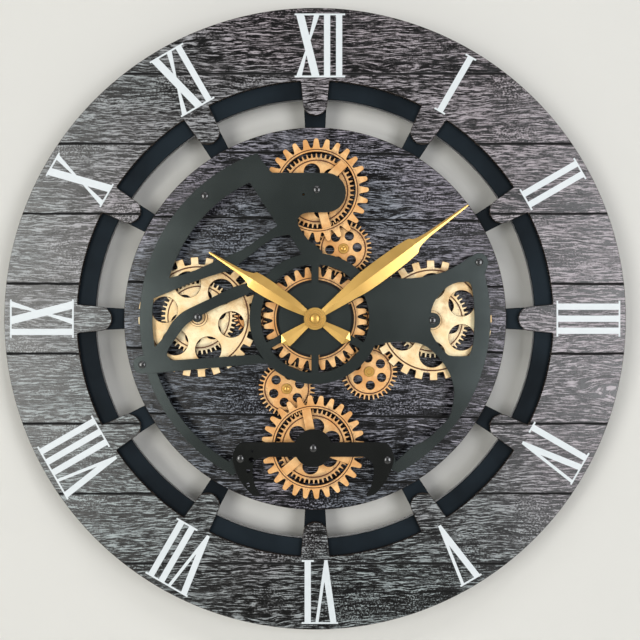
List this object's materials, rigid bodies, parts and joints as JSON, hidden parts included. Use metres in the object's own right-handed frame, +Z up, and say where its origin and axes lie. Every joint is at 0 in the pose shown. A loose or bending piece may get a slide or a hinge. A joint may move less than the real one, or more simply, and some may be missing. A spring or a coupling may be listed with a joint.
{
  "type": "wall clock",
  "caption": "Round wall clock with plank-print dial ring, raised Roman numerals, gold hands and an open train of coupled turning gears under dark plates.",
  "frame": {"origin": "on the wall plane, on the clock's axis: the middle of the rear housing's back", "axes": "the clock faces -Y and hangs with +Z up, so +X is to the right for someone who looks at the dial, and +Y points into the wall"},
  "size_m": [0.6, 0.0666, 0.6],
  "materials": {
    "dial_print": "matt printed board in a grey weathered plank pattern, white numerals",
    "disc_print": "satin printed board in a dark weathered plank pattern",
    "frame_board": "matt charcoal paint",
    "plate_paint": "satin black paint",
    "bridge_paint": "satin black paint",
    "aged_copper": "aged copper metallic paint",
    "pale_brass": "aged pale brass metallic paint",
    "hand_gold": "satin gold paint",
    "brass": "polished",
    "black_steel": "blackened",
    "steel": "plain",
    "black_plastic": "fine grain",
    "white_plastic": "plain",
    "cell_sleeve": "plain unmarked sleeve",
    "rubber": "soft"
  },
  "bodies": {
    "clock_body": {"dial_ring": "dial_print", "back_frame": "frame_board", "centre_disc": "disc_print", "rear_housing": "black_plastic", "wall_hanger": "steel", "wall_bumper_left": "rubber", "wall_bumper_right": "rubber", "main_plate": "plate_paint", "left_strap": "plate_paint", "bottom_bridge": "bridge_paint", "pillar_1": "black_steel", "pillar_2": "black_steel", "pillar_3": "black_steel", "pillar_4": "black_steel", "pillar_5": "black_steel", "pillar_screw_1": "black_steel", "pillar_screw_2": "black_steel", "pillar_screw_3": "black_steel", "pillar_screw_4": "black_steel", "pillar_screw_5": "black_steel", "axle_top": "steel", "axle_bottom": "steel", "axle_left": "steel", "axle_right": "steel", "axle_screw_top": "black_steel", "axle_screw_bottom": "black_steel", "axle_screw_left": "black_steel", "axle_screw_right": "black_steel", "upper_pinion_post": "brass", "lower_left_pinion_post": "brass", "left_idler_post": "brass", "right_idler_post": "brass", "threaded_bush": "brass", "movement_case": "black_plastic", "gear_motor": "steel", "clock_battery": "cell_sleeve", "gear_battery": "cell_sleeve"},
    "centre_wheel": {"centre_ring_gear": "aged_copper", "centre_drive_gear": "aged_copper"},
    "top_gears": {"top_ring_gear": "aged_copper", "top_fine_gear": "aged_copper"},
    "bottom_gears": {"bottom_ring_gear": "aged_copper", "bottom_fine_gear": "aged_copper"},
    "left_gears": {"left_wheel": "pale_brass", "left_fine_gear": "aged_copper"},
    "right_gears": {"right_wheel": "pale_brass", "right_fine_gear": "aged_copper"},
    "upper_pinion_body": {"upper_pinion": "aged_copper"},
    "lower_left_pinion_body": {"lower_left_pinion": "aged_copper"},
    "drive_pinion_body": {"drive_pinion": "aged_copper"},
    "left_idler_body": {"left_idler": "aged_copper"},
    "right_idler_body": {"right_idler": "aged_copper"},
    "minute_hand_set": {"minute_hand": "hand_gold", "hand_nut": "brass", "minute_arbor": "brass"},
    "hour_hand_set": {"hour_hand": "hand_gold", "hour_wheel": "white_plastic"},
    "setting_wheel": {"minute_wheel": "white_plastic", "setting_knob": "white_plastic"},
    "door": {"battery_door": "black_plastic"}
  },
  "joints": [
    {"name": "centre_wheel_spin", "type": "hinge", "parent": "clock_body", "child": "centre_wheel", "pos_m": [0, -0.041, 0], "axis": [0, -1, 0], "continuous": true},
    {"name": "top_gears_spin", "type": "hinge", "parent": "clock_body", "child": "top_gears", "pos_m": [0.00171, -0.041, 0.12249], "axis": [0, -1, 0], "continuous": true},
    {"name": "bottom_gears_spin", "type": "hinge", "parent": "clock_body", "child": "bottom_gears", "pos_m": [-0.00171, -0.041, -0.12249], "axis": [0, -1, 0], "continuous": true},
    {"name": "left_gears_spin", "type": "hinge", "parent": "clock_body", "child": "left_gears", "pos_m": [-0.11164, -0.041, 0.00156], "axis": [0, -1, 0], "continuous": true},
    {"name": "right_gears_spin", "type": "hinge", "parent": "clock_body", "child": "right_gears", "pos_m": [0.11164, -0.041, -0.00156], "axis": [0, -1, 0], "continuous": true},
    {"name": "upper_pinion_spin", "type": "hinge", "parent": "clock_body", "child": "upper_pinion_body", "pos_m": [0.02723, -0.039, 0.06719], "axis": [0, -1, 0], "continuous": true},
    {"name": "lower_left_pinion_spin", "type": "hinge", "parent": "clock_body", "child": "lower_left_pinion_body", "pos_m": [-0.02723, -0.039, -0.06719], "axis": [0, -1, 0], "continuous": true},
    {"name": "drive_pinion_spin", "type": "hinge", "parent": "clock_body", "child": "drive_pinion_body", "pos_m": [0.0518, -0.039, -0.05073], "axis": [0, -1, 0], "continuous": true},
    {"name": "left_idler_spin", "type": "hinge", "parent": "clock_body", "child": "left_idler_body", "pos_m": [-0.06162, -0.039, 0.00086], "axis": [0, -1, 0], "continuous": true},
    {"name": "right_idler_spin", "type": "hinge", "parent": "clock_body", "child": "right_idler_body", "pos_m": [0.06162, -0.039, -0.00086], "axis": [0, -1, 0], "continuous": true},
    {"name": "minute_hand_turn", "type": "hinge", "parent": "clock_body", "child": "minute_hand_set", "pos_m": [0, -0.062, 0], "axis": [0, 1, 0], "continuous": true},
    {"name": "hour_hand_turn", "type": "hinge", "parent": "clock_body", "child": "hour_hand_set", "pos_m": [0, -0.059, 0], "axis": [0, 1, 0], "continuous": true},
    {"name": "setting_wheel_turn", "type": "hinge", "parent": "clock_body", "child": "setting_wheel", "pos_m": [0, -0.006, 0.012], "axis": [0, 1, 0], "continuous": true},
    {"name": "battery_door_slide", "type": "slide", "parent": "clock_body", "child": "door", "axis": [0, 0, -1], "range_m": [0, 0.008]}
  ],
  "couplings": [
    {"joint": "top_gears_spin", "follows": "centre_wheel_spin", "ratio": 1.3333},
    {"joint": "bottom_gears_spin", "follows": "centre_wheel_spin", "ratio": 1.3333},
    {"joint": "left_gears_spin", "follows": "centre_wheel_spin", "ratio": 1.3333},
    {"joint": "right_gears_spin", "follows": "centre_wheel_spin", "ratio": 1.3333},
    {"joint": "upper_pinion_spin", "follows": "centre_wheel_spin", "ratio": -1.7778},
    {"joint": "lower_left_pinion_spin", "follows": "centre_wheel_spin", "ratio": -1.7778},
    {"joint": "drive_pinion_spin", "follows": "centre_wheel_spin", "ratio": -1.7778},
    {"joint": "left_idler_spin", "follows": "centre_wheel_spin", "ratio": -3.0476},
    {"joint": "right_idler_spin", "follows": "centre_wheel_spin", "ratio": -3.0476},
    {"joint": "hour_hand_turn", "follows": "minute_hand_turn", "ratio": 0.083333},
    {"joint": "setting_wheel_turn", "follows": "minute_hand_turn", "ratio": -0.33333}
  ]
}
